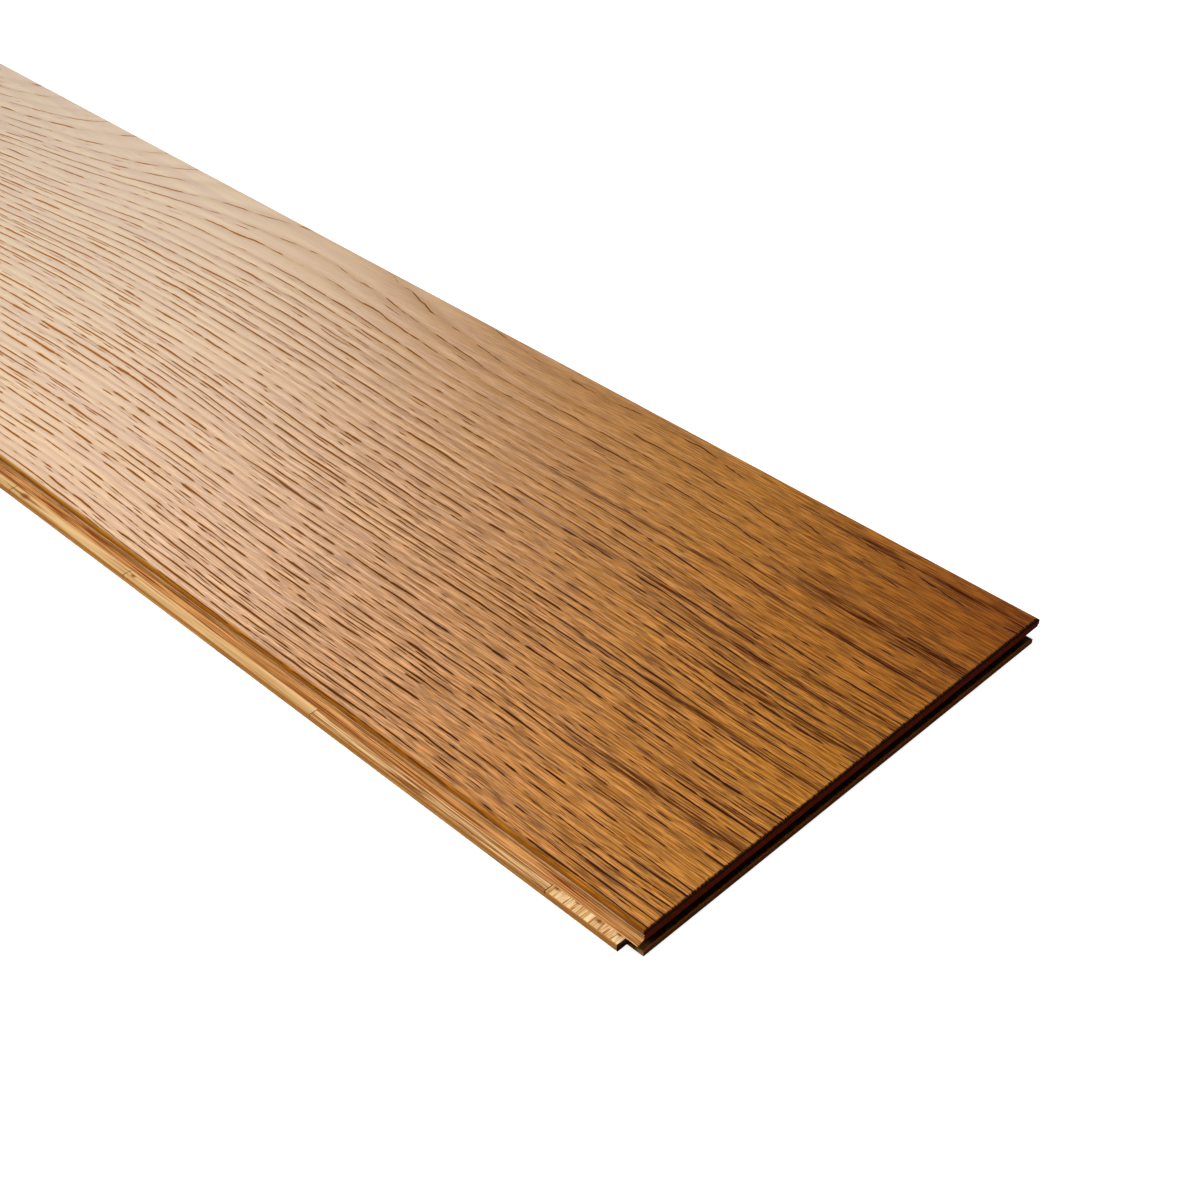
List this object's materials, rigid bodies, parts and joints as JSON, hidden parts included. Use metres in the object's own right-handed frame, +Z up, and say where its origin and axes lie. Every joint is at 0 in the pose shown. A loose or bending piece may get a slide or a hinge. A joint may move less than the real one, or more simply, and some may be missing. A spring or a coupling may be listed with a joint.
{
  "type": "wide plank floorboard",
  "caption": "Wide engineered oak floorboard, brushed and bevelled, with a tongue and a groove on its sides and ends for laying a floor.",
  "frame": {"origin": "middle of the board's bounding box, on the underside", "axes": "+X along the board towards the end groove, +Y across it towards the long groove, +Z up through the face"},
  "size_m": [1.904, 0.1962, 0.01],
  "materials": {
    "oak_face": "stained golden-brown oak, brushed along the grain, satin lacquer",
    "cross_veneer": "bare pale veneer, milled across its fibres",
    "long_veneer": "bare golden veneer, milled along its fibres",
    "backing_veneer": "bare veneer, sanded"
  },
  "bodies": {
    "root": {"oak_wear_layer": "oak_face", "cross_strip_01": "cross_veneer", "cross_strip_02": "cross_veneer", "cross_strip_03": "cross_veneer", "cross_strip_04": "cross_veneer", "cross_strip_05": "cross_veneer", "cross_strip_06": "cross_veneer", "cross_strip_07": "cross_veneer", "cross_strip_08": "cross_veneer", "cross_strip_09": "cross_veneer", "cross_strip_10": "cross_veneer", "cross_strip_11": "cross_veneer", "cross_strip_12": "cross_veneer", "cross_strip_13": "cross_veneer", "cross_strip_14": "cross_veneer", "cross_strip_15": "cross_veneer", "cross_strip_16": "cross_veneer", "cross_strip_17": "cross_veneer", "cross_strip_18": "cross_veneer", "cross_strip_19": "cross_veneer", "cross_strip_20": "cross_veneer", "cross_strip_21": "cross_veneer", "long_ply": "long_veneer", "lower_cross_ply": "cross_veneer", "backing_ply": "backing_veneer"}
  },
  "joints": []
}
